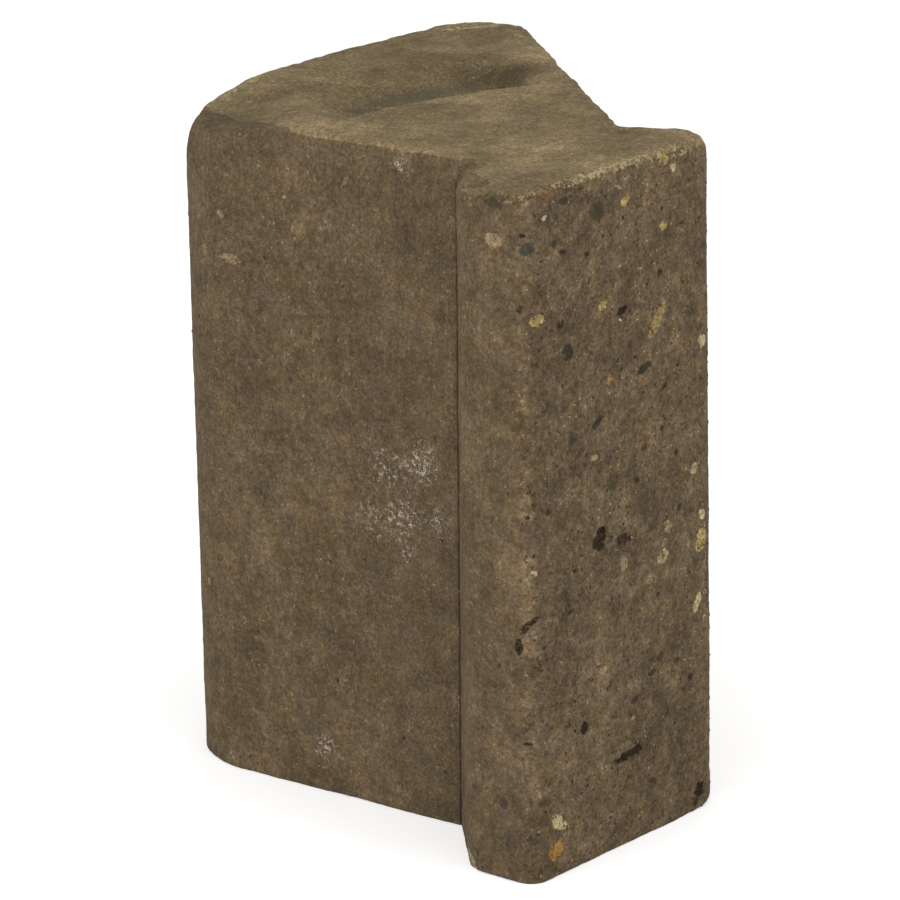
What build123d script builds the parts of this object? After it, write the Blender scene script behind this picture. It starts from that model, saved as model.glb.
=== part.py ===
from build123d import *
from math import cos, radians, sin, tan
import os

os.makedirs("parts", exist_ok=True)

# A cast concrete corner brick, standing on one end.
# X runs along the front face, Y from the front to the back, and Z up.
# The origin is on the floor, under the middle of the brick's outer size.

# Outer size
height = 200.0
width = 177.1
depth = 162.5

# Lip along the front edge of the brick
lip_width = 90.2
lip_end_left = 23.5          # the lip's left end, from the front face to its shoulder
lip_end_right = 14.5
lip_overhang = 25.7          # how far the lip stands out past the left flank
lip_shoulder_left = 40.5     # degrees between the shoulder and the front face
lip_shoulder_right = 59.5
neck_right = 29.2            # from the front face back to the neck on the right

# Wedge behind the lip
flank_left = 0.6             # degrees that each flank leans out from square
flank_right = 41.0

# Radii of the upright edges, worn rounder than they were cast
lip_front_left_radius = 6.0
lip_front_right_radius = 10.5
lip_shoulder_left_radius = 13.0
lip_shoulder_right_radius = 5.0
neck_right_radius = 4.0
back_left_radius = 31.5
back_right_radius = 17.0

# Edges round the two ends
top_edge_radius = 2.5
base_edge_radius = 1.2

# Scooped hollow in the top end: a steep wall in front and a long slope behind it.
# Its own X runs along the rim of the steep wall, from the middle of that rim.
hollow_from_flank = 51.2     # middle of the rim, from the left flank's foot at the neck
hollow_from_front = 90.2
hollow_turn = -14.4          # degrees that the rim is turned in plan
hollow_depth = 12.0
hollow_length = 72.0
hollow_bow = 6.0             # how far the rim bows to the back
hollow_side = (49.0, 32.0)   # points on the rim: beside the right flank,
hollow_far = (28.0, 55.0)    # at the far side,
hollow_slope = (-14.0, 40.0)     # and along the far slope
floor_length = 58.0          # the hollow's floor, a narrow strip at the foot of the wall
floor_lean = 4.0
floor_side = (36.0, 14.0)
floor_far = (24.0, 21.0)
floor_slope = (-6.0, 17.0)

front = -depth / 2
back = depth / 2
left = -width / 2

# Corners of the plan, before they are rounded
lip_left_x = left
lip_right_x = left + lip_width
flank_x = left + lip_overhang
shoulder_y = front + lip_end_left
neck_left_y = shoulder_y + lip_overhang * tan(radians(lip_shoulder_left))
neck_right_y = front + neck_right
neck_right_x = lip_right_x - (neck_right - lip_end_right) / tan(radians(lip_shoulder_right))
back_left_x = flank_x - (back - neck_left_y) * tan(radians(flank_left))
back_right_x = neck_right_x + (back - neck_right_y) * tan(radians(flank_right))

front_left = (lip_left_x, front)
front_right = (lip_right_x, front)
shoulder_right = (lip_right_x, front + lip_end_right)
neck_right_corner = (neck_right_x, neck_right_y)
back_right = (back_right_x, back)
back_left = (back_left_x, back)
neck_left = (flank_x, neck_left_y)
shoulder_left = (lip_left_x, shoulder_y)

# Rounded corners: where each one stands and its radius
rounded = [
    (front_left, lip_front_left_radius),
    (front_right, lip_front_right_radius),
    (shoulder_right, lip_shoulder_right_radius),
    (neck_right_corner, neck_right_radius),
    (back_right, back_right_radius),
    (back_left, back_left_radius),
    (shoulder_left, lip_shoulder_left_radius),
]


def upright_edge(part, corner):
    """The upright edge of the part that stands on a corner of the plan."""
    uprights = part.edges().filter_by(Axis.Z)
    return uprights.sort_by_distance((corner[0], corner[1], height / 2))[0]


def hollow_level(depth, length, lean, side, far, slope):
    """One level of the hollow: a bowed wall, and a smooth curve round the side and far slope."""
    wall_left = (-length / 2, lean)
    wall_right = (length / 2, lean)
    middle = (flank_x + hollow_from_flank, front + hollow_from_front, height - depth)
    turned = (cos(radians(hollow_turn)), sin(radians(hollow_turn)), 0)
    with BuildSketch(Plane(middle, turned, (0, 0, 1))) as level:
        with BuildLine():
            ThreePointArc(wall_left, (0, lean + hollow_bow), wall_right)
            Spline(wall_right, side, far, slope, wall_left)
        make_face()
    return level.sketch


with BuildPart() as corner_brick:
    # The brick is one cast prism: a lip, a neck behind it and a wedge that widens to the back
    with BuildSketch() as plan:
        with BuildLine():
            Polyline(
                front_left, front_right, shoulder_right, neck_right_corner,
                back_right, back_left, neck_left, shoulder_left, close=True,
            )
        make_face()
    extrude(amount=height)
    for corner, radius in rounded:
        fillet(upright_edge(corner_brick, corner), radius)

    # Both ends of the casting have blunt edges
    top_face = corner_brick.faces().sort_by(Axis.Z)[-1]
    fillet(top_face.edges(), top_edge_radius)
    base_face = corner_brick.faces().sort_by(Axis.Z)[0]
    fillet(base_face.edges(), base_edge_radius)

    # The hollow narrows from its rim to its floor
    rim = hollow_level(0, hollow_length, 0, hollow_side, hollow_far, hollow_slope)
    floor = hollow_level(
        hollow_depth, floor_length, floor_lean, floor_side, floor_far, floor_slope)
    loft([floor, rim], mode=Mode.SUBTRACT)

corner_brick.part.label = "corner_brick"
export_step(corner_brick.part, "parts/corner_brick.step")
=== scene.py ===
import math

import bmesh
import bpy
import numpy as np
from mathutils import Matrix, Vector, noise
from mathutils.bvhtree import BVHTree
from mathutils.geometry import delaunay_2d_cdt


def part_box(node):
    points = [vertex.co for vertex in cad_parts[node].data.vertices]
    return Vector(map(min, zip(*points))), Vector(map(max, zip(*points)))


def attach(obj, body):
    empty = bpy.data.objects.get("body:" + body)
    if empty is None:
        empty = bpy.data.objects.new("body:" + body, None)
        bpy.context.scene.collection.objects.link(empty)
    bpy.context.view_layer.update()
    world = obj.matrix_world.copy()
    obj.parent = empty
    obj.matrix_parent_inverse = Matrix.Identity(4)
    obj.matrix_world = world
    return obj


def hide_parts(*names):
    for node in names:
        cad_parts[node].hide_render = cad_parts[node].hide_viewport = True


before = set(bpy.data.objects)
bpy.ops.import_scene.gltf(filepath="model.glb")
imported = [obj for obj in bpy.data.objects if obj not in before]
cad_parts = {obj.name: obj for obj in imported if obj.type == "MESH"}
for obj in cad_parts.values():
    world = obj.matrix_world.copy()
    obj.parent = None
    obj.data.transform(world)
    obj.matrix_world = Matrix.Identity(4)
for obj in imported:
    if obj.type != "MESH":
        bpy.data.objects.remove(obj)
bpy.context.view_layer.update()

mm = 0.001                     # sizes below are in millimetres, Blender is in metres
nodeLow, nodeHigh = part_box("corner_brick")


# Camera, fitted to the straight edges of the brick in the photo
shot = {
    "target": (-1.6, 17.6, 90.2),
    "distance": 1547.0,
    "azimuth": -50.66,         # degrees, 0 looks along +Y
    "elevation": 16.5,
    "roll": -1.17,
    "lens": 206.3,
    "sensor": 36.0,
    "photoSide": 900,          # pixels
}


def addObject(name, data):
    thing = bpy.data.objects.new(name, data)
    bpy.context.scene.collection.objects.link(thing)
    return thing


def placeCamera():
    data = bpy.data.cameras.new("photoCamera")
    data.lens = shot["lens"]
    data.sensor_width = shot["sensor"]
    data.clip_end = 50
    turn = (Matrix.Rotation(math.radians(shot["azimuth"]), 4, "Z")
            @ Matrix.Rotation(math.radians(90 - shot["elevation"]), 4, "X")
            @ Matrix.Rotation(math.radians(shot["roll"]), 4, "Z"))
    target = Vector(shot["target"]) * mm
    eye = target - turn.to_3x3() @ Vector((0, 0, -1)) * shot["distance"] * mm
    camera = addObject("photoCamera", data)
    camera.matrix_world = Matrix.Translation(eye) @ turn
    bpy.context.scene.camera = camera
    return Matrix.Translation(eye) @ turn


cameraPlace = placeCamera()
print("camera placed")


def pixelRay(x, y):            # start and direction of the ray through a pixel of the photo
    focal = shot["lens"] / shot["sensor"] * shot["photoSide"]
    half = shot["photoSide"] / 2
    aim = Vector(((x - half) / focal, (half - y) / focal, -1)).normalized()
    return cameraPlace.translation, cameraPlace.to_3x3() @ aim


def smooth(value, low, high):  # 0 below low, 1 above high, eased between, on arrays too
    share = np.clip((value - low) / (high - low), 0, 1)
    return share * share * (3 - 2 * share)


def ripple(points, size, seed, octaves=1):     # noise from -1 to 1 at points in millimetres
    shift = Vector((seed * 17.3, seed * 5.1, seed * 9.7))
    values = [noise.fractal(Vector(p) / size + shift, 1.0, 2.0, octaves) for p in points]
    return np.array(values)


# The brick: the same plan and ends as the solid, with the wear that the photo shows
brick = {
    "lipWidth": 90.2,
    "lipEndLeft": 23.5,
    "lipEndRight": 14.5,
    "lipOverhang": 25.7,
    "shoulderLeft": 40.5,
    "shoulderRight": 59.5,
    "neckRight": 29.2,
    "flankLeft": 0.6,
    "flankRight": 41.0,
    "frontLeftRadius": 6.0,
    "frontRightRadius": 10.5,
    "shoulderLeftRadius": 13.0,
    "shoulderRightRadius": 5.0,
    "neckRightRadius": 4.0,
    "neckLeftRadius": 0.5,
    "backLeftRadius": 31.5,
    "backRightRadius": 17.0,
    "neckDrift": (1.85, -1.55),    # how far back the left neck sits at the base and at the top
    "neckReach": 26.0,
    "fineStep": 1.1,           # spacing of the mesh on the sides that the photo shows
    "coarseStep": 2.8,
    "rowStep": 1.1,
    "topStep": 1.25,
    "baseStep": 7.0,
    "topEdge": 2.0,            # mean radius of the worn edges
    "baseEdge": 0.7,
    "baseRows": 4,
    "topRows": 9,
    "cornerDroop": 4.6,        # how much lower the worn back left corner of the top is
    "droopReach": (22, 54),    # all of it within the first distance, none past the second
    "waves": ((45, 0.3), (9, 0.12)),   # size and height of the waves in the top
}
height = (nodeHigh[2] - nodeLow[2]) / mm
width = (nodeHigh[0] - nodeLow[0]) / mm
depth = (nodeHigh[1] - nodeLow[1]) / mm
left = -width / 2
front = -depth / 2
back = depth / 2
flankX = left + brick["lipOverhang"]
shoulderY = front + brick["lipEndLeft"]
neckY = shoulderY + brick["lipOverhang"] * math.tan(math.radians(brick["shoulderLeft"]))


def planCorners():             # plan point, radius, and mesh spacing of the side that follows
    fine, coarse = brick["fineStep"], brick["coarseStep"]
    right = left + brick["lipWidth"]
    neckRightY = front + brick["neckRight"]
    shoulderRun = brick["neckRight"] - brick["lipEndRight"]
    neckRightX = right - shoulderRun / math.tan(math.radians(brick["shoulderRight"]))
    backLeftX = flankX - (back - neckY) * math.tan(math.radians(brick["flankLeft"]))
    backRightX = neckRightX + (back - neckRightY) * math.tan(math.radians(brick["flankRight"]))
    return [
        ((left, front), brick["frontLeftRadius"], fine),
        ((right, front), brick["frontRightRadius"], coarse),
        ((right, front + brick["lipEndRight"]), brick["shoulderRightRadius"], coarse),
        ((neckRightX, neckRightY), brick["neckRightRadius"], coarse),
        ((backRightX, back), brick["backRightRadius"], coarse),
        ((backLeftX, back), brick["backLeftRadius"], fine),
        ((flankX, neckY), brick["neckLeftRadius"], fine),
        ((left, shoulderY), brick["shoulderLeftRadius"], fine),
    ]


def planOutline():             # points round the plan, anticlockwise, with their outward normals
    corners = planCorners()
    points, normals, turns = [], [], []
    for index, (place, radius, _) in enumerate(corners):
        before = Vector(place) - Vector(corners[index - 1][0])
        after = Vector(corners[(index + 1) % len(corners)][0]) - Vector(place)
        bend = math.atan2(before.x * after.y - before.y * after.x, before.dot(after))
        turns.append((before.normalized(), after.normalized(), bend, radius * math.tan(abs(bend) / 2)))
    for index, (place, radius, step) in enumerate(corners):
        inward, outward, bend, reach = turns[index]
        side = 1 if bend > 0 else -1
        start = Vector(place) - inward * reach
        centre = start + Vector((-inward.y, inward.x)) * radius * side
        steps = max(4, math.ceil(abs(bend) * radius / brick["fineStep"]))
        for k in range(steps + 1):
            angle = bend * k / steps
            normal = Matrix.Rotation(angle, 2) @ Vector((inward.y, -inward.x))
            points.append(centre + normal * radius * side)
            normals.append(normal)
        nextPlace = Vector(corners[(index + 1) % len(corners)][0])
        nextReach = turns[(index + 1) % len(corners)][3]
        end = nextPlace - outward * nextReach
        begin = Vector(place) + outward * reach
        count = math.ceil((end - begin).length / step)
        for k in range(1, count):
            points.append(begin.lerp(end, k / count))
            normals.append(Vector((outward.y, -outward.x)))
    return np.array([tuple(p) for p in points]), np.array([tuple(n) for n in normals])


# The scooped hollow, in its own frame: a runs along the rim of the steep wall, b to the back
hollow = {
    "fromFlank": 51.2,
    "fromFront": 90.2,
    "turn": -14.4,
    "depth": 11.5,
    "halfLength": 36.0,
    "bow": 6.0,
    "wall": 3.5,               # plan width of the steep wall
    "sideLean": 0.34,          # how far the right side leans out for each millimetre back
    "reach": 50.0,
    "leftFade": 30.0,
    "rightFade": 13.0,
    "leftSpare": 4.0,          # how far each end reaches past the wall
    "rightSpare": 2.0,
}


def hollowFrame(x, y):         # place along the wall, and distance behind it
    turn = math.radians(hollow["turn"])
    dx = x - (flankX + hollow["fromFlank"])
    dy = y - (front + hollow["fromFront"])
    a = dx * math.cos(turn) + dy * math.sin(turn)
    b = dy * math.cos(turn) - dx * math.sin(turn)
    behind = b - hollow["bow"] * (1 - np.clip(a / hollow["halfLength"], -1.2, 1.2) ** 2)
    return a, behind


def hollowShare(x, y):         # 0 outside the hollow, 1 at its deepest
    a, behind = hollowFrame(x, y)
    half = hollow["halfLength"]
    wall = smooth(behind, 0, hollow["wall"])
    slope = 1 - smooth(behind, hollow["wall"], hollow["reach"])
    leftEnd = smooth(a, -half - hollow["leftSpare"], -half + hollow["leftFade"])
    rightEdge = half + hollow["rightSpare"] + hollow["sideLean"] * np.maximum(behind, 0)
    rightEnd = 1 - smooth(a, rightEdge - hollow["rightFade"], rightEdge)
    return wall * slope * leftEnd * rightEnd


def topHeight(x, y):           # height of the top end at plan points, in millimetres
    points = np.stack([x, y, np.zeros_like(x)], 1)
    corner = np.hypot(x - flankX, y - back)
    droop = brick["cornerDroop"] * (1 - smooth(corner, *brick["droopReach"]))
    waves = sum(tall * ripple(points, size, 3 + k) for k, (size, tall) in enumerate(brick["waves"]))
    return height - 0.1 - droop + waves - hollow["depth"] * hollowShare(x, y)


# Corners that are worn more: all of the wear within the first reach, none past the second
wornCorners = {
    "backLeft": dict(place=(flankX + 9, back - 10), reach=(8, 26), inset=3.2, drop=12.5),
    "lipEnd": dict(place=(left + 7, front + 27), reach=(10, 24), inset=2.2, drop=3.6),
    "lipRight": dict(place=(left + 87, front + 6), reach=(6, 18), inset=1.2, drop=3.0),
}
wornFoot = dict(place=(left + 88, front + 4), reach=(4, 14), radius=1.6)


def nearCorner(plan, worn):    # 1 at a worn corner, 0 past its reach
    away = np.hypot(plan[:, 0] - worn["place"][0], plan[:, 1] - worn["place"][1])
    return 1 - smooth(away, *worn["reach"])


def edgeWear(plan):            # how far each top edge is worn back, and how far down
    spot = np.hstack([plan, np.zeros((len(plan), 1))])
    uneven = brick["topEdge"] * (1 + 0.35 * ripple(spot, 14, 11, 3))
    inset = uneven + sum(worn["inset"] * nearCorner(plan, worn) for worn in wornCorners.values())
    drop = uneven + sum(worn["drop"] * nearCorner(plan, worn) for worn in wornCorners.values())
    return inset, drop


def capGrid(ring, step, seed):     # loose grid points inside a ring, clear of its edge
    rng = np.random.default_rng(seed)
    low, high = ring.min(0), ring.max(0)
    gx, gy = np.meshgrid(np.arange(low[0], high[0], step), np.arange(low[1], high[1], step))
    gx[1::2] += step / 2
    points = np.stack([gx.ravel(), gy.ravel()], 1)
    points += rng.uniform(-0.22, 0.22, points.shape) * step
    inside = np.zeros(len(points), bool)
    nearest = np.full(len(points), 1e9)
    for a, b in zip(ring, np.roll(ring, -1, 0)):
        crosses = (a[1] > points[:, 1]) != (b[1] > points[:, 1])
        with np.errstate(divide="ignore", invalid="ignore"):
            cut = (b[0] - a[0]) * (points[:, 1] - a[1]) / (b[1] - a[1]) + a[0]
        inside ^= crosses & (points[:, 0] < cut)
        nearest = np.minimum(nearest, np.hypot(*(points - a).T))
    return points[inside & (nearest > step * 0.6)]


def fillCap(ring, step, seed):     # triangles over a ring, with points of their own
    flat = [Vector(p) for p in np.vstack([ring, capGrid(ring, step, seed)])]
    count = len(ring)
    edges = [(k, (k + 1) % count) for k in range(count)]
    points, _, faces, sources, _, _ = delaunay_2d_cdt(flat, edges, [list(range(count))], 1, 1e-5)
    return points, faces, sources


def settleNeck(verts):         # the left neck is further back at the base than at the top
    low, high = brick["neckDrift"]
    drift = low + (high - low) * verts[:, 2] / height
    away = np.hypot(verts[:, 0] - flankX, verts[:, 1] - neckY)
    verts[:, 1] += drift * np.clip(1 - away / brick["neckReach"], 0, 1)


def buildBrick():
    plan, normal = planOutline()
    count = len(plan)
    spot = np.hstack([plan, np.zeros((count, 1))])
    baseRadius = brick["baseEdge"] * (1 + 0.5 * ripple(spot, 11, 12, 3))
    baseRadius += wornFoot["radius"] * nearCorner(plan, wornFoot)
    inset, drop = edgeWear(plan)
    crestPlan = plan - normal * inset[:, None]
    crest = topHeight(crestPlan[:, 0], crestPlan[:, 1])
    rings = []
    for k in range(brick["baseRows"] + 1):         # rounding at the base
        angle = math.radians(90 * k / brick["baseRows"])
        ring = plan - normal * (baseRadius * (1 - math.sin(angle)))[:, None]
        rings.append(np.column_stack([ring, baseRadius * (1 - math.cos(angle))]))
    rows = math.ceil(height / brick["rowStep"])
    for k in range(1, rows):                       # the straight sides
        z = baseRadius + (crest - drop - baseRadius) * k / rows
        rings.append(np.column_stack([plan, z]))
    for k in range(brick["topRows"] + 1):          # rounding at the top
        angle = math.radians(90 * k / brick["topRows"])
        ring = plan - normal * (inset * (1 - math.cos(angle)))[:, None]
        rings.append(np.column_stack([ring, crest - drop * (1 - math.sin(angle))]))
    verts = np.vstack(rings)
    faces = []
    for row in range(len(rings) - 1):
        for k in range(count):
            a = row * count + k
            b = row * count + (k + 1) % count
            faces.append((a, b, b + count, a + count))
    for level, step in ((0, brick["baseStep"]), (len(rings) - 1, brick["topStep"])):
        points, capFaces, sources = fillCap(rings[level][:, :2], step, level)
        place = {}
        extra = []
        for index, origin in enumerate(sources):
            if origin and origin[0] < count:
                place[index] = level * count + origin[0]
            else:
                place[index] = len(verts) + len(extra)
                extra.append(tuple(points[index]))
        extra = np.array(extra)
        z = topHeight(extra[:, 0], extra[:, 1]) if level else np.zeros(len(extra))
        verts = np.vstack([verts, np.column_stack([extra, z])])
        faces += [tuple(place[k] for k in face) for face in capFaces]
    settleNeck(verts)
    mesh = bpy.data.meshes.new("cornerBrickSkin")
    mesh.from_pydata([tuple(v) for v in verts * mm], [], faces)
    work = bmesh.new()
    work.from_mesh(mesh)
    bmesh.ops.recalc_face_normals(work, faces=work.faces)
    work.to_mesh(mesh)
    work.free()
    mesh.shade_smooth()
    return addObject("cornerBrickSkin", mesh)


brickSkin = buildBrick()
print("brick mesh:", len(brickSkin.data.polygons), "faces")


def meshArrays(mesh):          # points in millimetres, and normals
    points = np.empty(len(mesh.vertices) * 3)
    mesh.vertices.foreach_get("co", points)
    normals = np.empty(len(mesh.vertices) * 3)
    mesh.vertices.foreach_get("normal", normals)
    return points.reshape(-1, 3) / mm, normals.reshape(-1, 3)


# Places on the brick, found through pixels of the photo
def surfaceTree(thing):
    return BVHTree.FromObject(thing, bpy.context.evaluated_depsgraph_get())


def hitPixel(tree, pixel):     # point on the brick under a pixel, in metres, and its normal
    origin, aim = pixelRay(*pixel)
    point, normal, _, _ = tree.ray_cast(origin, aim)
    return point, normal


bareTree = surfaceTree(brickSkin)

# Pits and chips. Size is across and up the face, turn in degrees, deep in millimetres. A pit
# has painted shade inside, full for tone "dark" and lighter for "faint", a chip of tone "side" shows the
# colour of the sides on the top
pits = {
    "tallPit": dict(pixel=(601, 539), size=(5.6, 8.2), turn=-30, deep=1.4, tone="dark"),
    "raggedPit": dict(pixel=(624, 540), size=(7.8, 3.8), turn=-8, deep=0.5, tone="faint"),
    "longPit": dict(pixel=(631, 754), size=(13.0, 3.0), turn=7, deep=1.2, tone="dark"),
    "smallPit": dict(pixel=(585, 729), size=(3.8, 3.2), turn=30, deep=1.1, tone="dark"),
    "cornerPit": dict(pixel=(701, 790), size=(5.5, 4.6), turn=70, deep=1.1, tone="dark"),
    "bruise": dict(pixel=(597, 211), size=(8.4, 7.2), turn=-20, deep=0.6, tone="none"),
    "lipNotch": dict(pixel=(496, 205), size=(9.5, 3.8), turn=-24, deep=0.7, tone="none"),
    "neckChip": dict(pixel=(466, 177), size=(27.0, 12.0), turn=40, deep=0.5, tone="side"),
    "rimDent": dict(pixel=(623, 311), size=(4.4, 3.0), deep=0.7, tone="dark"),
    "wedgePit": dict(pixel=(518, 647), size=(3.0, 4.8), turn=10, deep=0.4, tone="dark"),
    "dash": dict(pixel=(530, 625), size=(9.4, 2.6), turn=38, deep=0.4, tone="faint"),
    "backNotchLow": dict(pixel=(238, 94), size=(3.4, 5.0), deep=1.0, tone="none"),
    "backNotchHigh": dict(pixel=(256, 81), size=(3.4, 5.0), deep=1.0, tone="none"),
}


def faceAxes(normal):          # along the face and up it
    across = Vector((0, 0, 1)).cross(normal)
    if across.length < 0.3:
        across = Vector((1, 0, 0))
    across = (across - normal * across.dot(normal)).normalized()
    return across, normal.cross(across)


def spotShare(points, pit, seed):  # 1 in a ragged oval round the pixel, 0 outside
    centre, normal = hitPixel(bareTree, pit["pixel"])
    across, up = faceAxes(normal)
    offset = points - np.array(centre / mm)
    angle = math.radians(pit.get("turn", 0))
    a = offset @ np.array(across)
    b = offset @ np.array(up)
    a, b = a * math.cos(angle) + b * math.sin(angle), b * math.cos(angle) - a * math.sin(angle)
    wide, tall = pit["size"]
    reach = np.sqrt((a / wide * 2) ** 2 + (b / tall * 2) ** 2 + (offset @ np.array(normal) / 3) ** 2)
    ragged = np.zeros(len(points))
    near = reach < 2.2
    ragged[near] = 0.3 * ripple(points[near], 1.8, seed, 3)
    return 1 - smooth(reach + ragged, 0.72, 1.12)


def refineNearPits(mesh):      # halves the mesh twice where a pit needs sharper edges
    work = bmesh.new()
    work.from_mesh(mesh)
    places = [(hitPixel(bareTree, pit["pixel"])[0], max(pit["size"]) * 0.6 * mm)
              for pit in pits.values() if pit["tone"] == "dark"]
    for _ in range(2):
        edges = set()
        for face in work.faces:
            middle = face.calc_center_median()
            if any((middle - place).length < reach for place, reach in places):
                edges.update(face.edges)
        bmesh.ops.subdivide_edges(work, edges=list(edges), cuts=1, use_grid_fill=True)
    bmesh.ops.triangulate(work, faces=[f for f in work.faces if len(f.verts) > 4])
    work.to_mesh(mesh)
    work.free()


refineNearPits(brickSkin.data)


# Pale salt on the left flank, with the reach of each patch in millimetres
saltPatches = {
    "upperLeft": dict(pixel=(388, 468), reach=12, strength=0.75),
    "upperRight": dict(pixel=(421, 462), reach=12, strength=0.85),
    "lowerLeft": dict(pixel=(372, 520), reach=12, strength=0.6),
    "lowerMiddle": dict(pixel=(402, 518), reach=12, strength=0.8),
    "lowerRight": dict(pixel=(434, 520), reach=9, strength=0.7),
    "tail": dict(pixel=(408, 552), reach=7, strength=0.6),
    "haze": dict(pixel=(405, 500), reach=24, strength=0.4),
    "baseStain": dict(pixel=(323, 745), reach=4.6, strength=1.5),
    "baseHaze": dict(pixel=(327, 748), reach=8, strength=0.7),
    "rimStain": dict(pixel=(400, 164), reach=3.8, strength=1.5),
    "rimHaze": dict(pixel=(400, 165), reach=8, strength=0.5),
}

# Dirt that has gathered in the hollow, and painted shade there: the hollow is darkened more than its own
# shape shades it
hollowDirtAndShade = {
    "deepLeft": dict(pixel=(474, 76), reach=17, strength=0.95),
    "deepRight": dict(pixel=(512, 76), reach=16, strength=1.0),
    "back": dict(pixel=(484, 62), reach=15, strength=0.65),
    "backLeft": dict(pixel=(438, 66), reach=22, strength=0.62),
    "middle": dict(pixel=(432, 84), reach=18, strength=0.6),
    "left": dict(pixel=(395, 84), reach=20, strength=0.66),
    "farLeft": dict(pixel=(372, 104), reach=16, strength=0.5),
}

# Darker places elsewhere on the top
topPatches = {
    "left": dict(pixel=(285, 98), reach=36, strength=0.42),
    "leftRim": dict(pixel=(240, 112), reach=22, strength=0.42),
    "behindHollow": dict(pixel=(392, 60), reach=24, strength=0.3),
    "backRight": dict(pixel=(500, 38), reach=18, strength=0.12),
    "lipEnd": dict(pixel=(478, 190), reach=12, strength=0.25),
    "neck": dict(pixel=(460, 169), reach=9, strength=0.75),
}

# Pale crumbly edges, each between two pixels
crumbs = {
    "frontLeft": dict(pixels=((507, 202), (545, 190)), reach=2.4, strength=0.35),
    "frontMiddle": dict(pixels=((552, 186), (642, 157)), reach=2.8, strength=1.0),
    "frontRight": dict(pixels=((650, 155), (688, 146)), reach=3.8, strength=0.6),
    "backRim": dict(pixels=((446, 29), (492, 25)), reach=2.6, strength=1.3),
    "backCorner": dict(pixels=((510, 29), (522, 36)), reach=1.8, strength=0.9),
    "backLeft": dict(pixels=((222, 98), (258, 76)), reach=1.2, strength=0.8),
    "neckRight": dict(pixels=((606, 124), (628, 130)), reach=1.2, strength=0.7),
    "lipFoot": dict(pixels=((461, 832), (474, 866)), reach=1.8, strength=1.6),
    "rightSide": dict(pixels=((704, 500), (705, 620)), reach=1.3, strength=0.6),
}


def patchShare(points, patches):
    share = np.zeros(len(points))
    for patch in patches.values():
        place, _ = hitPixel(bareTree, patch["pixel"])
        distance = np.linalg.norm(points - np.array(place / mm), axis=1)
        spread = 1 - smooth(distance, patch["reach"] * 0.2, patch["reach"])
        share = np.maximum(share, patch["strength"] * spread)
    return share


# Painted shadow along the foot of the hollow's wall, a grey band under its rim
creaseShadowLines = {
    "left": dict(pixels=((352, 112), (395, 101)), reach=4.6, strength=0.55),
    "right": dict(pixels=((395, 101), (468, 87)), reach=5.4, strength=0.75),
}


def lineShare(points, lines):  # 1 along each line that runs between two pixels
    share = np.zeros(len(points))
    for line in lines.values():
        (startX, startY), (endX, endY) = line["pixels"]
        places = []
        for k in range(9):
            pixel = (startX + (endX - startX) * k / 8, startY + (endY - startY) * k / 8)
            place, _ = hitPixel(bareTree, pixel)
            if place is not None:
                places.append(np.array(place / mm))
        for begin, end in zip(places, places[1:]):     # distance to each short stretch
            along = end - begin
            part = np.clip((points - begin) @ along / (along @ along), 0, 1)
            distance = np.linalg.norm(points - begin - part[:, None] * along, axis=1)
            spread = 1 - smooth(distance, line["reach"] * 0.2, line["reach"])
            share = np.maximum(share, line["strength"] * spread)
    return share


# The colour of the sides reaches over the worn back left corner, up to a line between two pixels
cornerLine = {"back": (213, 110), "front": (292, 130)}


def cornerShare(points):
    start, end = [hitPixel(bareTree, pixel)[0] / mm for pixel in cornerLine.values()]
    along = (end - start).to_2d().normalized()
    beside = (points[:, 0] - start.x) * along.y - (points[:, 1] - start.y) * along.x
    beside = beside + 0.7 * ripple(points, 5, 61, 2)
    return smooth(beside, -0.8, 0.8) * smooth(points[:, 1], end.y - 3, end.y + 3)


def surfaceShares(points, normals):    # what the material needs to know at each point
    x, y, z = points.T
    worn = 1 - smooth(np.hypot(x - flankX - 9, y - back + 10), 14, 34)     # side colour reaches up there
    top = smooth(normals[:, 2], 0.3 + 0.52 * worn, 0.62 + 0.33 * worn) * (z > height * 0.5)
    toFront = smooth(-normals[:, 1], 0.25, 0.6)
    toRight = smooth(normals[:, 0], 0.3, 0.8) * 0.5
    opened = np.maximum(toFront, toRight) * (1 - smooth(normals[:, 2], 0.3, 0.7))
    top = top * (1 - cornerShare(points))
    upper = z > height - 20
    inHollow = smooth(hollowFrame(x, y)[1], -0.6, 0.8) * upper
    # dirt and painted shade in the hollow, and the darker places on the top
    dirtAndShade = np.maximum(patchShare(points, hollowDirtAndShade) * inHollow, patchShare(points, topPatches) * upper)
    # painted shadow in a grey band along the foot of the hollow's wall
    crease = lineShare(points, creaseShadowLines) * inHollow
    dark = np.zeros(len(points))
    # painted shade in the pits, full for tone dark and 0.6 for faint
    for index, pit in enumerate(pits.values()):
        share = spotShare(points, pit, 50 + index)
        if pit["tone"] == "side":
            top = top * (1 - share)
        elif pit["tone"] != "none":
            dark = np.maximum(dark, share * (1.0 if pit["tone"] == "dark" else 0.6))
    # the rounded upright edge at the lip's front: worn, and lighter as a painted highlight
    lipEdgeWearAndHighlight = smooth(4 * normals[:, 0] ** 2 * normals[:, 1] ** 2, 0.2, 0.9)
    lipEdgeWearAndHighlight = lipEdgeWearAndHighlight * (normals[:, 0] < 0) * (normals[:, 1] < 0)
    # the concave left neck: a shallow groove with a line of painted shade along it
    low, high = brick["neckDrift"]
    neckLineY = neckY + low + (high - low) * z / height
    neckGrooveAndShade = (1 - smooth(np.hypot(x - flankX, y - neckLineY), 0.2, 0.9)) * (z < height - 7)
    return {"openGrain": opened, "topEnd": top, "dirtAndShade": dirtAndShade, "crease": crease, "pitShade": dark,
            "neckGrooveAndShade": neckGrooveAndShade, "lipEdgeWearAndHighlight": lipEdgeWearAndHighlight, "salt": patchShare(points, saltPatches),
            "crumbly": lineShare(points, crumbs)}


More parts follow.
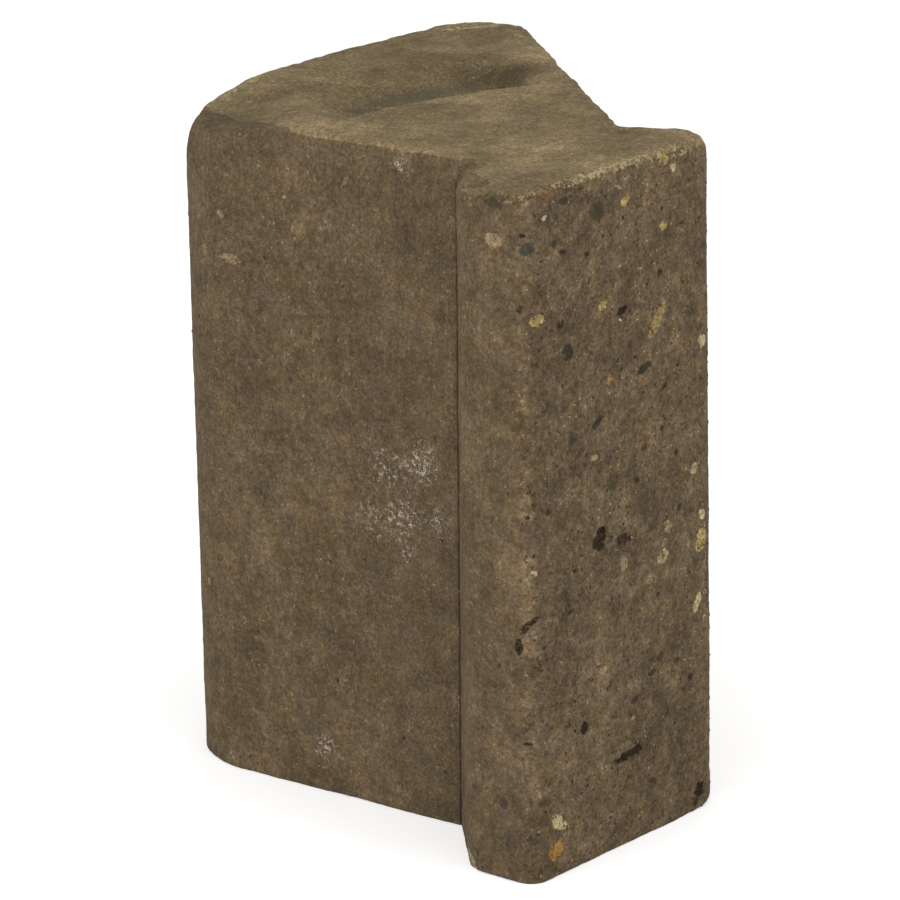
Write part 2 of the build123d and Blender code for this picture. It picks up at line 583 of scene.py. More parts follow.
def keepAboveFloor(mesh):
    points, _ = meshArrays(mesh)
    points[:, 2] = np.maximum(points[:, 2], 0)
    mesh.vertices.foreach_set("co", (points * mm).ravel())
    mesh.update()


def storeShares(mesh, shares):
    for name, values in shares.items():
        attribute = mesh.attributes.new(name, "FLOAT", "POINT")
        attribute.data.foreach_set("value", np.asarray(values, np.float32))


relief = {                     # size and height in millimetres of three sizes of unevenness
    "broad": (38.0, 0.16),
    "middle": (7.0, 0.12),
    "fine": (2.4, 0.10),
    "looseCount": 420,         # small unnamed pits, most of them on the front
    "looseReach": (0.5, 1.4),
    "looseDepth": 0.5,
    "nibbles": 260,            # small losses along the top's edges
    "nibbleReach": (0.8, 3.0),
    "nibbleDepth": 0.22,
    "crumbLoss": 0.35,         # along the pale crumbly edges
    "neckGrooveDepth": 0.5,          # along the left neck
    "seed": 23,
}


def wearBrick(skin):
    mesh = skin.data
    points, normals = meshArrays(mesh)
    shares = surfaceShares(points, normals)
    top = shares["topEnd"]
    push = np.zeros(len(points))
    for index, key in enumerate(("broad", "middle", "fine")):
        size, tall = relief[key]
        push += tall * ripple(points, size, 30 + index, 2) * (1 + 0.7 * top)
    for index, pit in enumerate(pits.values()):
        push -= pit["deep"] * spotShare(points, pit, 50 + index)
    push -= relief["crumbLoss"] * shares["crumbly"] * (0.5 + 0.5 * ripple(points, 1.6, 41))
    push -= relief["neckGrooveDepth"] * shares["neckGrooveAndShade"]
    rng = np.random.default_rng(relief["seed"])
    openWeight = (0.12 + shares["openGrain"]) * (1 - top) * (points[:, 2] > 3)
    edgeWeight = top * (1 - top) * (points[:, 2] > height - 20)
    for weight, count, reaches, deep in (
            (openWeight, relief["looseCount"], relief["looseReach"], relief["looseDepth"]),
            (edgeWeight, relief["nibbles"], relief["nibbleReach"], relief["nibbleDepth"])):
        for index in rng.choice(len(points), count, replace=False, p=weight / weight.sum()):
            reach = rng.uniform(*reaches)
            distance = np.linalg.norm(points - points[index], axis=1)
            push -= (1 - smooth(distance, reach * 0.3, reach * 1.3)) * deep * min(1, reach)
    mesh.vertices.foreach_set("co", ((points + normals * push[:, None]) * mm).ravel())
    keepAboveFloor(mesh)
    storeShares(mesh, shares)


wearBrick(brickSkin)
wornTree = surfaceTree(brickSkin)
print("brick worn:", sum(len(f.vertices) - 2 for f in brickSkin.data.polygons), "triangles")


paints = {                     # colours of the stones, display values from 0 to 255
    "cream": (172, 158, 116), "straw": (158, 137, 86), "ochre": (138, 110, 58), "amber": (150, 114, 54),
    "sand": (156, 136, 101), "tan": (126, 107, 76), "rust": (112, 80, 54), "white": (205, 198, 176),
    "brown": (60, 43, 33), "dark": (46, 38, 29), "slate": (42, 42, 34), "blueGrey": (60, 61, 52),
    "moss": (58, 55, 38),
}

# Stones that show on the surface. Size is across and up the face, turn in degrees, and strength
# is how much of the paint shows
stones = {
    "lipSand": dict(pixel=(494, 240), size=(7.0, 4.4), paint="sand", strength=0.65),
    "lipTanEdge": dict(pixel=(503, 240), size=(3.0, 4.0), turn=20, paint="tan", strength=0.5),
    "whiteFleck": dict(pixel=(544, 218), size=(2.0, 1.9), turn=30, paint="white", strength=0.65),
    "mossNotch": dict(pixel=(493, 203), size=(9.0, 3.4), turn=-20, paint="moss", strength=0.75),
    "mossBruise": dict(pixel=(597, 211), size=(7.2, 6.4), turn=-30, paint="moss", strength=0.85),
    "darkInBruise": dict(pixel=(595, 208), size=(4.2, 3.0), turn=-30, paint="dark", strength=0.7),
    "darkUnderRim": dict(pixel=(563, 201), size=(4.6, 2.6), paint="dark", strength=0.7),
    "strawTop": dict(pixel=(663, 225), size=(4.4, 3.1), paint="straw", strength=0.75),
    "strawLeft": dict(pixel=(537, 321), size=(5.6, 4.1), paint="straw"),
    "strawMiddle": dict(pixel=(604, 305), size=(4.8, 3.2), turn=20, paint="straw"),
    "blueTop": dict(pixel=(527, 249), size=(5.2, 3.8), paint="blueGrey"),
    "slateTop": dict(pixel=(554, 244), size=(3.0, 2.8), paint="slate", strength=0.65),
    "darkTop": dict(pixel=(562, 252), size=(3.8, 1.8), turn=-10, paint="dark"),
    "darkTopRight": dict(pixel=(587, 254), size=(2.4, 1.8), paint="dark"),
    "darkByStraw": dict(pixel=(660, 272), size=(2.8, 2.3), paint="dark"),
    # painted glint: a tiny white highlight in the dent
    "glintInDent": dict(pixel=(620, 320), size=(1.4, 1.0), paint="white"),
    "darkOverSlate": dict(pixel=(560, 325), size=(3.8, 2.7), turn=20, paint="dark"),
    "slateUpper": dict(pixel=(568, 352), size=(5.4, 5.4), paint="slate"),
    "longStraw": dict(pixel=(657, 321), size=(12.0, 4.0), turn=50, paint="straw", strength=0.6),
    "creamRight": dict(pixel=(702, 341), size=(4.4, 4.4), turn=60, paint="cream"),
    "slateWedge": dict(pixel=(644, 368), size=(7.6, 3.0), turn=12, paint="slate"),
    "amberFleck": dict(pixel=(609, 379), size=(2.0, 2.8), turn=-20, paint="amber", strength=0.45),
    "darkStreak": dict(pixel=(664, 386), size=(4.6, 1.2), turn=35, paint="dark"),
    "darkUnderWedge": dict(pixel=(635, 357), size=(1.6, 1.2), paint="dark"),
    "slateLong": dict(pixel=(597, 423), size=(6.8, 2.4), turn=32, paint="slate"),
    "slateRound": dict(pixel=(573, 441), size=(4.4, 2.9), paint="slate", strength=0.6),
    "brownLong": dict(pixel=(580, 452), size=(5.0, 1.7), turn=30, paint="brown", strength=0.6),
    "brownRound": dict(pixel=(644, 447), size=(3.7, 2.4), paint="brown", strength=0.7),
    "darkRight": dict(pixel=(676, 452), size=(2.3, 2.6), paint="dark"),
    "slateRight": dict(pixel=(662, 428), size=(2.6, 2.0), paint="slate"),
    "sandSmall": dict(pixel=(594, 458), size=(4.0, 1.9), paint="sand", strength=0.65),
    "sandRight": dict(pixel=(694, 468), size=(5.4, 3.4), turn=30, paint="sand"),
    "mossStone": dict(pixel=(612, 485), size=(5.0, 3.5), turn=-40, paint="moss", strength=0.75),
    "darkByMoss": dict(pixel=(637, 480), size=(2.4, 2.0), paint="dark"),
    "slateLeft": dict(pixel=(548, 512), size=(2.8, 2.0), paint="slate"),
    "darkByPits": dict(pixel=(679, 507), size=(2.9, 2.1), turn=30, paint="dark"),
    "slateByPits": dict(pixel=(651, 528), size=(5.0, 2.8), turn=10, paint="slate", strength=0.35),
    "sandByPits": dict(pixel=(668, 527), size=(4.0, 4.2), turn=80, paint="sand", strength=0.7),
    "creamByPits": dict(pixel=(702, 514), size=(3.6, 3.4), turn=-50, paint="cream"),
    "strawRight": dict(pixel=(701, 540), size=(6.0, 7.4), paint="straw"),
    "sandUnderPits": dict(pixel=(663, 556), size=(5.6, 4.4), turn=40, paint="sand", strength=0.8),
    "sandUnderPit": dict(pixel=(624, 563), size=(4.0, 5.2), paint="sand", strength=0.5),
    "creamFleck": dict(pixel=(534, 574), size=(2.2, 1.8), paint="cream"),
    "darkFleck": dict(pixel=(575, 571), size=(2.2, 1.3), paint="dark"),
    "brownFleck": dict(pixel=(570, 612), size=(3.0, 1.9), paint="brown"),
    "creamLong": dict(pixel=(697, 603), size=(7.4, 2.9), turn=62, paint="cream"),
    "slateLow": dict(pixel=(660, 656), size=(4.4, 2.6), turn=10, paint="slate", strength=0.6),
    "darkLowFleck": dict(pixel=(652, 672), size=(4.2, 1.8), turn=10, paint="dark"),
    "darkLow": dict(pixel=(690, 677), size=(3.0, 2.8), paint="dark"),
    "darkLowRight": dict(pixel=(676, 660), size=(3.2, 1.8), turn=20, paint="dark", strength=0.8),
    "sandLeft": dict(pixel=(603, 670), size=(3.6, 2.6), paint="sand", strength=0.65),
    "brownLow": dict(pixel=(635, 700), size=(3.4, 2.8), paint="brown"),
    "darkInPit": dict(pixel=(575, 731), size=(1.4, 1.2), paint="dark"),
    "sandLow": dict(pixel=(633, 718), size=(2.0, 1.6), paint="sand", strength=0.7),
    "darkLowLeft": dict(pixel=(528, 744), size=(3.2, 1.3), paint="dark"),
    "brownBase": dict(pixel=(546, 801), size=(5.0, 3.4), paint="brown", strength=0.5),
    "brownBaseRight": dict(pixel=(652, 780), size=(3.8, 2.0), paint="brown", strength=0.8),
    "creamBase": dict(pixel=(559, 823), size=(9.4, 4.6), turn=-34, paint="cream", strength=0.75),
    "amberBase": dict(pixel=(556, 851), size=(8.0, 5.6), turn=20, paint="amber"),
    "blueBase": dict(pixel=(477, 788), size=(5.0, 2.6), paint="blueGrey", strength=0.55),
    "slateBase": dict(pixel=(504, 803), size=(3.6, 4.2), paint="slate", strength=0.65),
    "mossBase": dict(pixel=(614, 832), size=(5.6, 2.2), turn=30, paint="moss", strength=0.6),
    "darkCorner": dict(pixel=(696, 801), size=(5.2, 2.6), turn=40, paint="dark"),
    "strawRim": dict(pixel=(663, 158), size=(4.6, 5.0), turn=20, paint="straw", strength=0.7),
    # painted glint: a small cream highlight on the rim
    "glintOnRim": dict(pixel=(673, 168), size=(3.0, 2.6), turn=60, paint="cream", strength=0.7),
    "rustRim": dict(pixel=(548, 194), size=(8.0, 4.0), turn=10, paint="rust", strength=0.8),
    "strawUnderRim": dict(pixel=(625, 201), size=(4.4, 3.2), turn=30, paint="straw"),
    "sandUnderRim": dict(pixel=(618, 187), size=(4.0, 1.3), turn=-25, paint="sand", strength=0.8),
    "flankTan": dict(pixel=(298, 229), size=(5.8, 4.9), turn=-20, paint="tan", strength=0.75),
    "flankTanLeft": dict(pixel=(204, 248), size=(3.8, 3.2), paint="tan", strength=0.6),
    "flankTanNeck": dict(pixel=(451, 223), size=(3.0, 5.4), turn=-12, paint="tan", strength=0.45),
    "flankSandLow": dict(pixel=(210, 581), size=(3.2, 2.6), paint="sand", strength=0.55),
    "flankSandWide": dict(pixel=(230, 259), size=(8.8, 3.4), paint="sand", strength=0.5),
    "flankSandHigh": dict(pixel=(221, 214), size=(3.4, 2.6), paint="sand", strength=0.5),
    "flankSandMiddle": dict(pixel=(316, 336), size=(4.0, 3.0), paint="sand", strength=0.3),
    "flankTanFoot": dict(pixel=(260, 639), size=(6.0, 2.4), paint="tan", strength=0.4),
    "flankStreak": dict(pixel=(345, 182), size=(5.0, 1.8), turn=50, paint="sand", strength=0.35),
    "flankStraw": dict(pixel=(284, 197), size=(1.6, 1.2), paint="straw", strength=0.5),
}


def linear(display, alpha=1):  # display values from 0 to 255 as a linear colour
    shares = [value / 255 for value in display]
    return tuple(v / 12.92 if v < 0.04045 else ((v + 0.055) / 1.055) ** 2.4 for v in shares) + (alpha,)


stoneForm = {
    "rings": 3,
    "sides": 18,
    "proud": 0.10,             # the middle stands this far out of the skin
    "sunk": 0.22,              # and the rim this far under it
    "spread": 1.25,            # the rim is a band of concrete, so the shape is drawn larger
}


def addStone(work, stone, index):      # a low dome that follows the surface
    tintLayer = work.verts.layers.float_color["tint"]
    shareLayer = work.verts.layers.float["stone"]
    place, normal = hitPixel(wornTree, stone["pixel"])
    across, up = faceAxes(normal)
    angle = math.radians(stone.get("turn", 0))
    long = across * math.cos(angle) + up * math.sin(angle)
    short = up * math.cos(angle) - across * math.sin(angle)
    halfLong, halfShort = [side / 2 * stoneForm["spread"] * mm for side in stone["size"]]
    rings = []
    for ring in range(stoneForm["rings"] + 1):
        share = ring / stoneForm["rings"]
        lift = stoneForm["proud"] * (1 - share ** 4) - stoneForm["sunk"] * smooth(share, 0.7, 1.0)
        row = []
        for k in range(stoneForm["sides"] if ring else 1):
            around = 2 * math.pi * k / stoneForm["sides"]
            lump = noise.noise(Vector((math.cos(around) * 0.9, math.sin(around) * 0.9, index * 3.7)))
            reach = share * (1 + 0.3 * lump)
            offset = long * math.cos(around) * halfLong + short * math.sin(around) * halfShort
            near, nearNormal, _, _ = wornTree.find_nearest(place + offset * reach)
            vert = work.verts.new(near + nearNormal * lift * mm)
            vert[tintLayer] = linear(paints[stone["paint"]], stone.get("strength", 0.9))
            vert[shareLayer] = 1 - share
            row.append(vert)
        rings.append(row)
    sides = stoneForm["sides"]
    for k in range(sides):
        work.faces.new((rings[0][0], rings[1][k], rings[1][(k + 1) % sides]))
    for ring in range(1, stoneForm["rings"]):
        for k in range(sides):
            nextK = (k + 1) % sides
            work.faces.new((rings[ring][k], rings[ring + 1][k], rings[ring + 1][nextK], rings[ring][nextK]))


def buildStones():
    work = bmesh.new()
    work.verts.layers.float_color.new("tint")
    work.verts.layers.float.new("stone")
    for index, stone in enumerate(stones.values()):
        addStone(work, stone, index)
    mesh = bpy.data.meshes.new("surfaceStones")
    work.to_mesh(mesh)
    work.free()
    mesh.shade_smooth()
    points, normals = meshArrays(mesh)
    storeShares(mesh, surfaceShares(points, normals))
    return addObject("surfaceStones", mesh)


surfaceStones = buildStones()
print("stones set:", len(stones))


class Wire:                    # a node's socket that Python's operators work on
    def __init__(self, nodes, socket):
        self.nodes = nodes
        self.socket = socket

    def combine(self, operation, first, second):       # one Math node
        return self.nodes.add("ShaderNodeMath", {"operation": operation}, {0: first, 1: second})

    def __add__(self, other):
        return self.combine("ADD", self, other)

    def __sub__(self, other):
        return self.combine("SUBTRACT", self, other)

    def __rsub__(self, other):
        return self.combine("SUBTRACT", other, self)

    def __mul__(self, other):
        return self.combine("MULTIPLY", self, other)

    def __rpow__(self, other):
        return self.combine("POWER", other, self)

    __radd__ = __add__
    __rmul__ = __mul__


class Nodes:                   # one node tree of a material, the world or a modifier
    def __init__(self, tree):
        self.tree = tree
        tree.nodes.clear()

    def add(self, kind, settings=None, inputs=None, output=0):
        made = self.tree.nodes.new(kind)
        for key, value in (settings or {}).items():
            setattr(made, key, value)
        for key, value in (inputs or {}).items():
            if isinstance(value, Wire):
                self.tree.links.new(value.socket, made.inputs[key])
            else:
                made.inputs[key].default_value = value
        if output is None:                     # every output of the node
            return [Wire(self, socket) for socket in made.outputs]
        return Wire(self, made.outputs[output]) if made.outputs else None

    def mix(self, factor, first, second):      # colours
        return self.add("ShaderNodeMix", {"data_type": "RGBA"}, {0: factor, 6: first, 7: second}, 2)

    def vector(self, operation, first, second=None, scale=None):
        inputs = {0: first}
        if second is not None:
            inputs[1] = second
        if scale is not None:
            inputs["Scale"] = scale
        return self.add("ShaderNodeVectorMath", {"operation": operation}, inputs)

    def ramp(self, value, low, high):          # eased from 0 at low to 1 at high
        return self.add("ShaderNodeMapRange", {"interpolation_type": "SMOOTHSTEP"},
                        {"Value": value, "From Min": low, "From Max": high})

    def cloud(self, place, size, octaves=1, roughness=0.5):
        return self.add("ShaderNodeTexNoise", {}, {
            "Vector": place, "Scale": 1 / size, "Detail": octaves - 1, "Roughness": roughness})


concrete = {
    "warm": (98, 82, 58),      # display values
    "cool": (94, 81, 63),
    "top": (116, 101, 73),
    "skin": 1.06,              # the smooth cast skin is a little lighter
    "dirtAndShade": 0.52,             # how much of the light the dirt and the painted shade take in the hollow
    # colour of the painted shadow along the hollow's crease
    "creaseShadow": (77, 73, 60),
    "salt": (196, 187, 170),
    "broad": (24, 1.1),        # size in millimetres of each unevenness in tone, and its strength
    "patch": (7.0, 2.0),
    "grit": (1.0, 2.4),
    "hue": (6.0, 3.8),
    "lip": 0.07,               # how much lighter the end of the lip is, in stops
    "lipEdgeWearAndHighlight": 0.24,           # and the worn upright edge beside the front, partly a painted highlight
    # colour of the painted shade inside the pits
    "pit": (38, 30, 21),
    # colour of the painted shade in the left neck's groove
    "neckGrooveAndShade": (34, 27, 22),
    "roughness": 0.92,
    "specular": 0.15,
    "bump": (0.6, 0.3),        # strength, and height in millimetres
}

# Specks in the concrete: size in millimetres, octaves and roughness of the noise, where it
# starts and is full, and where in the noise it is read
specks = {
    "soot": dict(noise=(1.5, 2, 0.6), edges=(0.37, 0.28), shift=(31.0, 57.0, 13.0),
                 paint="dark", strength=0.6),
    "moss": dict(noise=(3.1, 3, 0.6), edges=(0.34, 0.26), shift=(5.0, 71.0, 23.0),
                 paint="moss", strength=0.55),
    "pale": dict(noise=(2.3, 3, 0.7), edges=(0.66, 0.76), shift=(47.0, 3.0, 61.0),
                 paint="tan", strength=0.5),
}


def concreteMaterial():
    material = bpy.data.materials.new("castConcrete")
    material.use_nodes = True
    n = Nodes(material.node_tree)
    place = n.vector("SCALE", n.add("ShaderNodeTexCoord", {}, {}, "Object"), scale=1 / mm)
    opened, top, dirtAndShade, crease, pitShade, neckGrooveAndShade, lipEdgeWearAndHighlight, salt, crumbly, stone = [
        n.add("ShaderNodeAttribute", {"attribute_name": name}, {}, "Fac")
        for name in ("openGrain", "topEnd", "dirtAndShade", "crease", "pitShade", "neckGrooveAndShade", "lipEdgeWearAndHighlight",
                     "salt", "crumbly", "stone")]
    tint, _, _, strength = n.add("ShaderNodeAttribute", {"attribute_name": "tint"}, {}, None)
    elsewhere = n.vector("ADD", place, (31.0, 57.0, 13.0))
    broad = n.cloud(place, concrete["broad"][0], 2, 0.6) - 0.5
    patch = n.cloud(place, concrete["patch"][0], 3, 1.0) - 0.5
    grit = n.cloud(place, concrete["grit"][0], 2, 1.0) - 0.5
    mottle = n.cloud(elsewhere, 2.6, 3, 0.9) - 0.5
    hue = n.cloud(elsewhere, concrete["hue"][0], 4, 0.8) - 0.5
    streak = n.cloud(n.vector("MULTIPLY", place, (0.4, 0.4, 0.03)), 1, 2) - 0.5

    colour = n.mix(0.5 + concrete["hue"][1] * hue, linear(concrete["cool"]), linear(concrete["warm"]))
    topMask = n.ramp(top + 0.9 * patch + 0.7 * grit, 0.35, 0.6)
    colour = n.mix(topMask, colour, linear(concrete["top"]))
    tone = concrete["broad"][1] * broad * (1 + 0.6 * top)
    tone = tone + concrete["patch"][1] * patch * (1 + 0.35 * opened)
    tone = tone + concrete["grit"][1] * grit * (1 + 0.1 * top)
    tone = tone + 0.2 * streak * (1 - opened) * (1 - top)
    lip = n.ramp(n.add("ShaderNodeSeparateXYZ", {}, {0: place}), flankX - 0.5, flankX - 2.0)
    tone = tone + concrete["lip"] * lip * (1 - opened) * (1 - top)
    # worn front-left edge made lighter, partly a painted highlight on the rounded corner
    tone = tone + concrete["lipEdgeWearAndHighlight"] * lipEdgeWearAndHighlight * (1 + 2 * patch) * (1 - top)
    light = (2 ** tone) * (1 + (concrete["skin"] - 1) * (1 - opened))
    # painted shade and dirt: darkens the hollow and the darker places on the top
    light = light * (1 - concrete["dirtAndShade"] * dirtAndShade * (1 + 0.8 * patch))
    colour = n.vector("SCALE", colour, scale=light)
    # painted shadow: grey band along the crease under the hollow's rim
    colour = n.mix(crease * 0.8, colour, linear(concrete["creaseShadow"]))

    shown = (0.25 + 0.75 * opened) * (1 - 0.8 * top)       # cement skin hides most of the grains
    share = {}
    for name, speck in specks.items():
        cloud = n.cloud(n.vector("ADD", place, speck["shift"]), *speck["noise"])
        share[name] = n.ramp(cloud, *speck["edges"])
        colour = n.mix(share[name] * shown * speck["strength"], colour, linear(paints[speck["paint"]]))
    # painted glints: tiny cream highlight specks mixed into the colour
    glint = n.ramp(n.cloud(n.vector("ADD", place, (9.0, 19.0, 83.0)), 0.9) + 0.35 * patch, 0.77, 0.84)
    colour = n.mix(glint * (0.5 + 0.2 * opened), colour, linear(paints["cream"]))

    flecks = n.ramp(n.cloud(place, 1.3, 4, 0.9) + 0.09 * salt, 0.595, 0.69)
    colour = n.mix(flecks * n.ramp(salt, 0.02, 0.9) * 0.8, colour, linear(concrete["salt"]))
    lumps = n.ramp(n.cloud(place, 2.0, 4, 0.9) + 0.1 * crumbly, 0.56, 0.66)
    colour = n.mix(lumps * n.ramp(crumbly, 0.02, 0.5) * 0.75, colour, linear(paints["cream"]))
    # painted shade in the pits: dark inside each pit
    pitShadeMask = n.ramp(pitShade * (1 + 2.0 * grit + 1.2 * mottle), 0.26, 0.66)
    colour = n.mix(pitShadeMask * (0.82 + 1.4 * grit), colour, linear(concrete["pit"]))
    # painted shade: dark line in the concave left neck, over its groove
    line = n.ramp(neckGrooveAndShade * (1 + 2.4 * grit), 0.3, 0.7)
    colour = n.mix(line * 0.75, colour, linear(concrete["neckGrooveAndShade"]))

    stoneMask = n.ramp(stone * (1 + 3.0 * grit + 2.0 * mottle), 0.16, 0.42)
    stoneTone = 2 ** (3.0 * mottle + 1.6 * grit)
    colour = n.mix(stoneMask * strength, colour, n.vector("SCALE", tint, scale=stoneTone))

    rise = 0.9 * grit + 0.5 * patch - 0.25 * share["soot"] * shown
    strong, tall = concrete["bump"]
    bump = n.add("ShaderNodeBump", {}, {"Strength": strong, "Distance": tall * mm, "Height": rise})
    surface = n.add("ShaderNodeBsdfPrincipled", {}, {
        "Base Color": colour, "Roughness": concrete["roughness"],
        "Specular IOR Level": concrete["specular"], "Normal": bump})
    n.add("ShaderNodeOutputMaterial", {}, {0: surface})
    return material


castConcrete = concreteMaterial()
brickSkin.data.materials.append(castConcrete)
surfaceStones.data.materials.append(castConcrete)
print("material made")


# Loose grains all over the open sides, scattered by Geometry Nodes
grains = {
    "perSquareCentimetre": 8.0,
    "smallest": 0.35,          # radii in millimetres
    "largest": 1.15,
    "height": 0.22,
    "buried": 0.6,             # share of the height that is under the skin
    "wobble": 0.45,            # how far noise pulls each outline, in millimetres
    "sides": 9,
    "seed": 5,
    "paints": (("dark", 0.9), ("slate", 0.5), ("brown", 0.6), ("tan", 0.35), ("moss", 0.5),
               ("straw", 0.3), ("dark", 0.5), ("ochre", 0.25), ("slate", 0.8), ("tan", 0.6),
               ("brown", 0.35), ("rust", 0.3)),
}


def grainTree():
    tree = bpy.data.node_groups.new("scatterGrains", "GeometryNodeTree")
    tree.interface.new_socket("Geometry", in_out="INPUT", socket_type="NodeSocketGeometry")
    for name, kind in (("Density", "NodeSocketFloat"), ("Smallest", "NodeSocketFloat"),
                       ("Largest", "NodeSocketFloat"), ("Height", "NodeSocketFloat"),
                       ("Seed", "NodeSocketInt"), ("Material", "NodeSocketMaterial")):
        tree.interface.new_socket(name, in_out="INPUT", socket_type=kind)
    tree.interface.new_socket("Geometry", in_out="OUTPUT", socket_type="NodeSocketGeometry")
    n = Nodes(tree)
    skin, density, smallest, largest, tall, seed, material, _ = n.add("NodeGroupInput", {}, {}, None)
    opened = n.add("GeometryNodeInputNamedAttribute", {"data_type": "FLOAT"}, {0: "openGrain"})
    covered = n.add("GeometryNodeInputNamedAttribute", {"data_type": "FLOAT"}, {0: "topEnd"})
    share = (0.06 + 0.94 * opened) * (1 - covered)
    points, _, turn = n.add("GeometryNodeDistributePointsOnFaces", {"distribute_method": "RANDOM"}, {
        "Mesh": skin, "Density": density * share, "Seed": seed}, None)

    def chance(shift):         # a random number from 0 to 1 for each grain
        return n.add("FunctionNodeRandomValue", {"data_type": "FLOAT"},
                     {2: 0.0, 3: 1.0, "Seed": seed + shift}, 1)

    dome = n.add("GeometryNodeMeshCone", {"fill_type": "TRIANGLE_FAN"}, {
        "Vertices": grains["sides"], "Radius Top": 0.62, "Radius Bottom": 1.0, "Depth": 1.0}, None)
    shape = n.add("GeometryNodeDeleteGeometry", {"domain": "FACE"},
                  {"Geometry": dome[0], "Selection": dome[2]})
    shape = n.add("GeometryNodeSetShadeSmooth", {}, {"Geometry": shape, "Shade Smooth": True})
    level = n.add("ShaderNodeSeparateXYZ", {}, {0: n.add("GeometryNodeInputPosition")}, 2)
    shape = n.add("GeometryNodeStoreNamedAttribute", {"data_type": "FLOAT", "domain": "POINT"}, {
        "Geometry": shape, "Name": "stone", "Value": level})
    shape = n.add("GeometryNodeTransform", {},
                  {"Geometry": shape, "Translation": (0, 0, -grains["buried"])})

    radius = smallest + (largest - smallest) * chance(1) * chance(2)
    stretch = 0.7 + 0.6 * chance(3)
    size = n.add("ShaderNodeCombineXYZ", {},
                 {0: radius * stretch, 1: radius * (1.9 - stretch) * 0.9, 2: tall})
    spin = n.add("ShaderNodeCombineXYZ", {}, {2: 6.28 * chance(4)})
    spin = n.add("FunctionNodeEulerToRotation", {}, {0: spin})
    turn = n.add("FunctionNodeRotateRotation", {"rotation_space": "LOCAL"}, {0: turn, 1: spin})
    scattered = n.add("GeometryNodeInstanceOnPoints", {}, {
        "Points": points, "Instance": shape, "Rotation": turn, "Scale": size})
    palette = n.add("ShaderNodeValToRGB", {}, {0: chance(5)})
    stops = palette.socket.node.color_ramp
    stops.interpolation = "CONSTANT"
    for index, (paint, strength) in enumerate(grains["paints"]):
        stop = stops.elements[0] if index == 0 else stops.elements.new(index / len(grains["paints"]))
        stop.color = linear(paints[paint], strength)
    stops.elements.remove(stops.elements[-1])
    scattered = n.add("GeometryNodeStoreNamedAttribute",
                      {"data_type": "FLOAT_COLOR", "domain": "INSTANCE"},
                      {"Geometry": scattered, "Name": "tint", "Value": palette})
    plain = n.add("GeometryNodeRealizeInstances", {}, {0: scattered})
    wobble = n.add("ShaderNodeTexNoise", {}, {
        "Vector": n.add("GeometryNodeInputPosition"), "Scale": 1 / (0.8 * mm), "Detail": 0.0}, "Color")
    wobble = n.vector("SCALE", n.vector("SUBTRACT", wobble, (0.5, 0.5, 0.5)), scale=grains["wobble"] * mm)
    plain = n.add("GeometryNodeSetPosition", {}, {"Geometry": plain, "Offset": wobble})
    plain = n.add("GeometryNodeSetMaterial", {}, {"Geometry": plain, "Material": material})
    n.add("NodeGroupOutput", {}, {0: plain})
    return tree


def scatterGrains(skin, material):
    carrier = addObject("grainCarrier", skin.data.copy())
    modifier = carrier.modifiers.new("scatterGrains", "NODES")
    modifier.node_group = grainTree()
    values = {
        "Density": grains["perSquareCentimetre"] * 1e4, "Smallest": grains["smallest"] * mm,
        "Largest": grains["largest"] * mm, "Height": grains["height"] * mm,
        "Seed": grains["seed"], "Material": material,
    }
    for item in modifier.node_group.interface.items_tree:
        if item.in_out == "INPUT" and item.name in values:
            modifier[item.identifier] = values[item.name]
    carrier.update_tag()
    seen = carrier.evaluated_get(bpy.context.evaluated_depsgraph_get())
    mesh = bpy.data.meshes.new_from_object(seen)
    mesh.name = "brickGrains"
    keepAboveFloor(mesh)
    carrier.modifiers.remove(modifier)
    bpy.data.objects.remove(carrier)
    return addObject("brickGrains", mesh)


brickGrains = scatterGrains(brickSkin, castConcrete)
print("grains scattered:", len(brickGrains.data.polygons), "faces")
for piece in (brickSkin, surfaceStones, brickGrains):
    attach(piece, "root")
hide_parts("corner_brick")


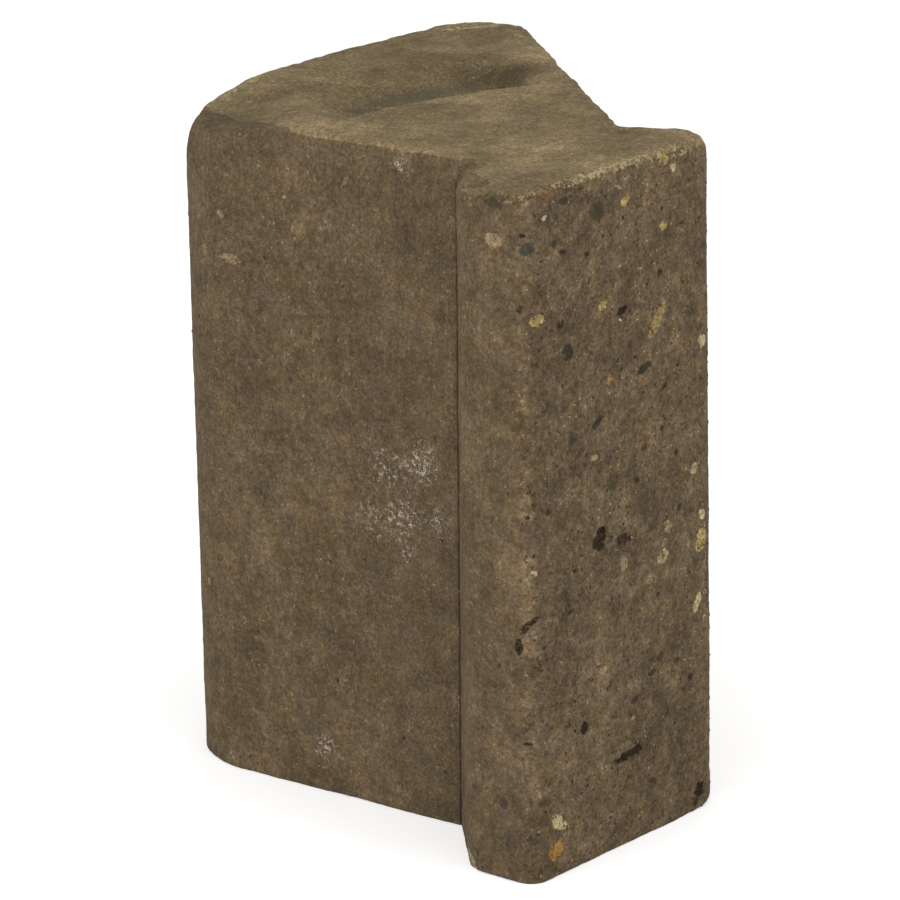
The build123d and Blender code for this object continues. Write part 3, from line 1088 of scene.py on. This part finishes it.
# Studio: pale floor, even light from the room and three soft boxes
studio = {
    "floorSide": 12.0,         # metres
    "floorGlow": 0.45,
    "world": 0.60,
    "above": {"place": (-0.3, -0.3, 1.7), "size": 1.4, "power": 8},
    "leftBox": {"place": (-1.8, 0.5, 0.7), "size": 1.2, "power": 12},
    "rightBox": {"place": (0.3, -1.9, 0.7), "size": 1.2, "power": 12},
}


def softBox(name):
    box = studio[name]
    data = bpy.data.lights.new(name, "AREA")
    data.shape = "SQUARE"
    data.size = box["size"]
    data.energy = box["power"]
    light = addObject(name, data)
    light.location = box["place"]
    light.rotation_euler = (Vector((0, 0, 0.1)) - Vector(box["place"])).to_track_quat("-Z", "Y").to_euler()


def buildStudio():
    mesh = bpy.data.meshes.new("studioFloor")
    half = studio["floorSide"] / 2
    corners = [(-half, -half, 0), (half, -half, 0), (half, half, 0), (-half, half, 0)]
    mesh.from_pydata(corners, [], [(0, 1, 2, 3)])
    floor = addObject("studioFloor", mesh)
    material = bpy.data.materials.new("paleFloor")
    material.use_nodes = True
    n = Nodes(material.node_tree)
    plain = n.add("ShaderNodeBsdfDiffuse", {}, {0: (0.8, 0.8, 0.8, 1)})
    glow = n.add("ShaderNodeEmission", {}, {0: (1, 1, 1, 1), 1: studio["floorGlow"]})
    seen = n.add("ShaderNodeAddShader", {}, {0: plain, 1: glow})
    toCamera = n.add("ShaderNodeLightPath", {}, {}, "Is Camera Ray")
    mixed = n.add("ShaderNodeMixShader", {}, {0: toCamera, 1: plain, 2: seen})
    n.add("ShaderNodeOutputMaterial", {}, {0: mixed})
    mesh.materials.append(material)
    world = bpy.data.worlds.new("studioWorld")
    world.use_nodes = True
    n = Nodes(world.node_tree)
    toCamera = n.add("ShaderNodeLightPath", {}, {}, "Is Camera Ray")
    room = n.add("ShaderNodeBackground", {}, {0: (1, 1, 1, 1), 1: studio["world"]})
    white = n.add("ShaderNodeBackground", {}, {0: (1, 1, 1, 1), 1: 1.0})
    mixed = n.add("ShaderNodeMixShader", {}, {0: toCamera, 1: room, 2: white})
    n.add("ShaderNodeOutputWorld", {}, {0: mixed})
    bpy.context.scene.world = world
    for name in ("above", "leftBox", "rightBox"):
        softBox(name)


buildStudio()
bpy.context.scene.view_settings.view_transform = "Standard"
print("studio built")
